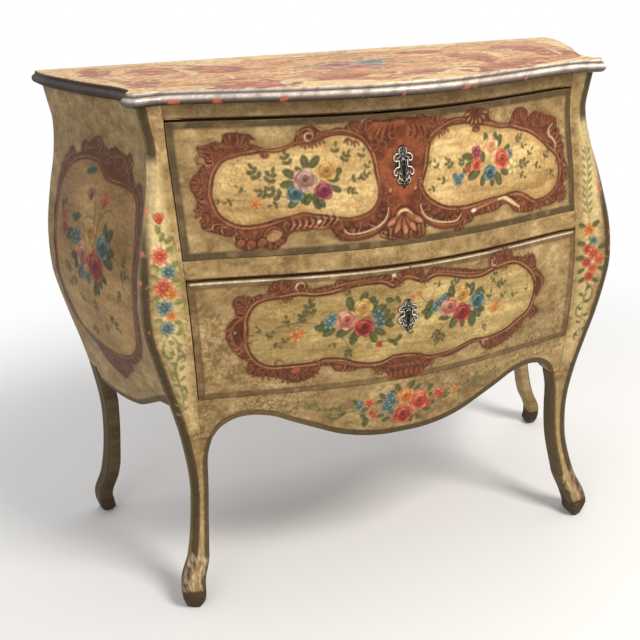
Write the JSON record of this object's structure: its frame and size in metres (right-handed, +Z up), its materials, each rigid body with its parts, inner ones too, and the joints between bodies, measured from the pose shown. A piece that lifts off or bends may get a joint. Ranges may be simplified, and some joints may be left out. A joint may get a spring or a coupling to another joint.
{
  "type": "bombe chest of drawers",
  "caption": "Painted rococo bombe commode with a serpentine front, swelling sides, deep drawers, a shaped apron, a moulded top and cabriole legs.",
  "frame": {"origin": "middle of the footprint on the floor", "axes": "+Z up, the drawers open towards -Y, +X to the right seen from the front"},
  "size_m": [1.0102, 0.4504, 0.84],
  "materials": {
    "top": "polished painted",
    "right_front_post": "aged painted",
    "left_front_post": "aged painted",
    "right_back_post": "aged painted",
    "left_back_post": "aged painted",
    "right_side_panel": "aged painted",
    "left_side_panel": "aged painted",
    "front_top_rail": "aged painted",
    "drawer_divider": "aged painted",
    "front_apron": "aged painted",
    "back_top_rail": "bare",
    "back_middle_rail": "bare",
    "back_bottom_rail": "bare",
    "back_board_1": "bare",
    "back_board_2": "bare",
    "back_board_3": "bare",
    "right_upper_runner": "bare",
    "left_upper_runner": "bare",
    "right_lower_runner": "bare",
    "left_lower_runner": "bare",
    "right_upper_guide": "bare",
    "left_upper_guide": "bare",
    "right_lower_guide": "bare",
    "left_lower_guide": "bare",
    "right_kicker": "bare",
    "left_kicker": "bare",
    "dust_board": "bare",
    "right_back_glue_block": "bare",
    "left_back_glue_block": "bare",
    "right_front_glue_block": "bare",
    "left_front_glue_block": "bare",
    "right_upper_stop": "bare",
    "left_upper_stop": "bare",
    "right_lower_stop": "bare",
    "left_lower_stop": "bare",
    "upper_drawer_front": "aged painted",
    "upper_drawer_right_side": "bare",
    "upper_drawer_left_side": "bare",
    "upper_drawer_back": "bare",
    "upper_drawer_bottom": "bare",
    "upper_drawer_lock": "dull",
    "upper_drawer_lock_bolt": "dull",
    "upper_drawer_escutcheon": "dark old",
    "lower_drawer_front": "aged painted",
    "lower_drawer_right_side": "bare",
    "lower_drawer_left_side": "bare",
    "lower_drawer_back": "bare",
    "lower_drawer_bottom": "bare",
    "lower_drawer_lock": "dull",
    "lower_drawer_lock_bolt": "dull",
    "lower_drawer_escutcheon": "dark old"
  },
  "bodies": {
    "case": {"top": "top", "right_front_post": "right_front_post", "left_front_post": "left_front_post", "right_back_post": "right_back_post", "left_back_post": "left_back_post", "right_side_panel": "right_side_panel", "left_side_panel": "left_side_panel", "front_top_rail": "front_top_rail", "drawer_divider": "drawer_divider", "front_apron": "front_apron", "back_top_rail": "back_top_rail", "back_middle_rail": "back_middle_rail", "back_bottom_rail": "back_bottom_rail", "back_board_1": "back_board_1", "back_board_2": "back_board_2", "back_board_3": "back_board_3", "right_upper_runner": "right_upper_runner", "left_upper_runner": "left_upper_runner", "right_lower_runner": "right_lower_runner", "left_lower_runner": "left_lower_runner", "right_upper_guide": "right_upper_guide", "left_upper_guide": "left_upper_guide", "right_lower_guide": "right_lower_guide", "left_lower_guide": "left_lower_guide", "right_kicker": "right_kicker", "left_kicker": "left_kicker", "dust_board": "dust_board", "right_back_glue_block": "right_back_glue_block", "left_back_glue_block": "left_back_glue_block", "right_front_glue_block": "right_front_glue_block", "left_front_glue_block": "left_front_glue_block", "right_upper_stop": "right_upper_stop", "left_upper_stop": "left_upper_stop", "right_lower_stop": "right_lower_stop", "left_lower_stop": "left_lower_stop"},
    "upper_drawer": {"upper_drawer_front": "upper_drawer_front", "upper_drawer_right_side": "upper_drawer_right_side", "upper_drawer_left_side": "upper_drawer_left_side", "upper_drawer_back": "upper_drawer_back", "upper_drawer_bottom": "upper_drawer_bottom", "upper_drawer_lock": "upper_drawer_lock", "upper_drawer_escutcheon": "upper_drawer_escutcheon"},
    "lower_drawer": {"lower_drawer_front": "lower_drawer_front", "lower_drawer_right_side": "lower_drawer_right_side", "lower_drawer_left_side": "lower_drawer_left_side", "lower_drawer_back": "lower_drawer_back", "lower_drawer_bottom": "lower_drawer_bottom", "lower_drawer_lock": "lower_drawer_lock", "lower_drawer_escutcheon": "lower_drawer_escutcheon"},
    "upper_lock_bolt": {"upper_drawer_lock_bolt": "upper_drawer_lock_bolt"},
    "lower_lock_bolt": {"lower_drawer_lock_bolt": "lower_drawer_lock_bolt"}
  },
  "joints": [
    {"name": "upper_drawer_slide", "type": "slide", "parent": "case", "child": "upper_drawer", "axis": [0, -1, 0], "range_m": [0, 0.26]},
    {"name": "lower_drawer_slide", "type": "slide", "parent": "case", "child": "lower_drawer", "axis": [0, -1, 0], "range_m": [0, 0.26]},
    {"name": "upper_lock_bolt_slide", "type": "slide", "parent": "upper_drawer", "child": "upper_lock_bolt", "axis": [0, 0, 1], "range_m": [0, 0.012]},
    {"name": "lower_lock_bolt_slide", "type": "slide", "parent": "lower_drawer", "child": "lower_lock_bolt", "axis": [0, 0, 1], "range_m": [0, 0.012]}
  ]
}
